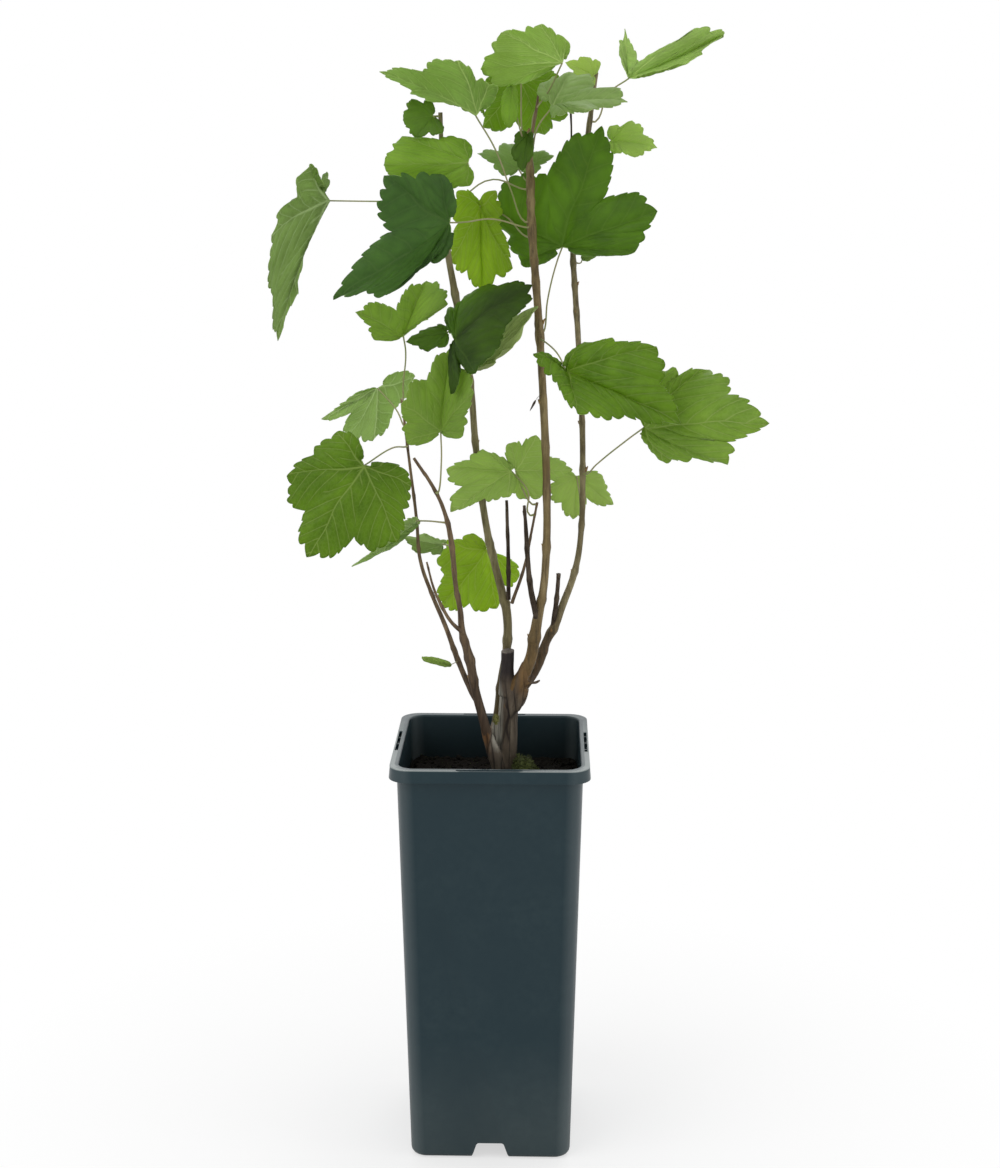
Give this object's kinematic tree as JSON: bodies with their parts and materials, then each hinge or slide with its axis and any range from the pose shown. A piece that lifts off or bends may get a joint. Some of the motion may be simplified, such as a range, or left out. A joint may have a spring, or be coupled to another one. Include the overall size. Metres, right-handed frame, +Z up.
{
  "type": "potted currant bush",
  "caption": "Young currant bush with several upright woody stems and lobed leaves, in a deep square tapered nursery pot with a rolled rim and drainage channels",
  "frame": {"origin": "centre of the pot's base on the floor, which is also the middle of the whole bush's box to within 2 mm", "axes": "+Z up along the trunk, +X to the right of the front view, +Y away from the front view; the pot's sides lie along X and Y"},
  "size_m": [0.2706, 0.2443, 0.6262],
  "materials": {
    "pot": "satin moulded plastic, dark blue-grey",
    "soil": null,
    "moss": null,
    "old_bark": "rough grey peeling bark",
    "young_bark": "smooth tan bark",
    "dead_wood": "rough dark dead wood",
    "leaf_dark": null,
    "leaf_blue": null,
    "leaf_mid": null,
    "leaf_light": null,
    "leaf_yellow": null,
    "leaf_grey": null,
    "leaf_pale": null
  },
  "bodies": {
    "root": {"pot": "pot", "soil_root_ball": "soil", "moss_clump": "moss", "trunk": "old_bark", "stem_left": "young_bark", "stem_left_rear": "young_bark", "twig_left": "young_bark", "stem_middle": "young_bark", "stem_centre": "young_bark", "stem_right": "young_bark", "twig_middle": "young_bark", "twig_middle_dead": "dead_wood", "twig_centre_dead": "dead_wood", "twig_right_dead": "dead_wood", "leaf_crown_left": "leaf_mid", "leaf_crown_top": "leaf_light", "leaf_crown_right": "leaf_grey", "leaf_crown_small": "leaf_yellow", "leaf_top_right": "leaf_mid", "leaf_upper_right_small": "leaf_light", "leaf_upper_right": "leaf_dark", "leaf_crown_front": "leaf_dark", "leaf_crown_back": "leaf_grey", "leaf_crown_lower": "leaf_mid", "leaf_left_top": "leaf_dark", "leaf_upper_left_folded": "leaf_light", "leaf_upper_left": "leaf_blue", "leaf_far_left": "leaf_pale", "leaf_upper_hanging": "leaf_yellow", "leaf_mid_left": "leaf_light", "leaf_middle": "leaf_dark", "leaf_middle_small": "leaf_dark", "leaf_middle_front": "leaf_mid", "leaf_left_pale": "leaf_pale", "leaf_lower_left": "leaf_mid", "leaf_lower_left_narrow": "leaf_grey", "leaf_lower_left_pale": "leaf_pale", "leaf_lower_middle": "leaf_mid", "leaf_centre_left": "leaf_light", "leaf_centre_right": "leaf_light", "leaf_right_back": "leaf_light", "leaf_right": "leaf_mid", "leaf_far_right": "leaf_light", "leaf_base_left": "leaf_mid", "leaf_bud_right": "leaf_pale"}
  },
  "joints": []
}
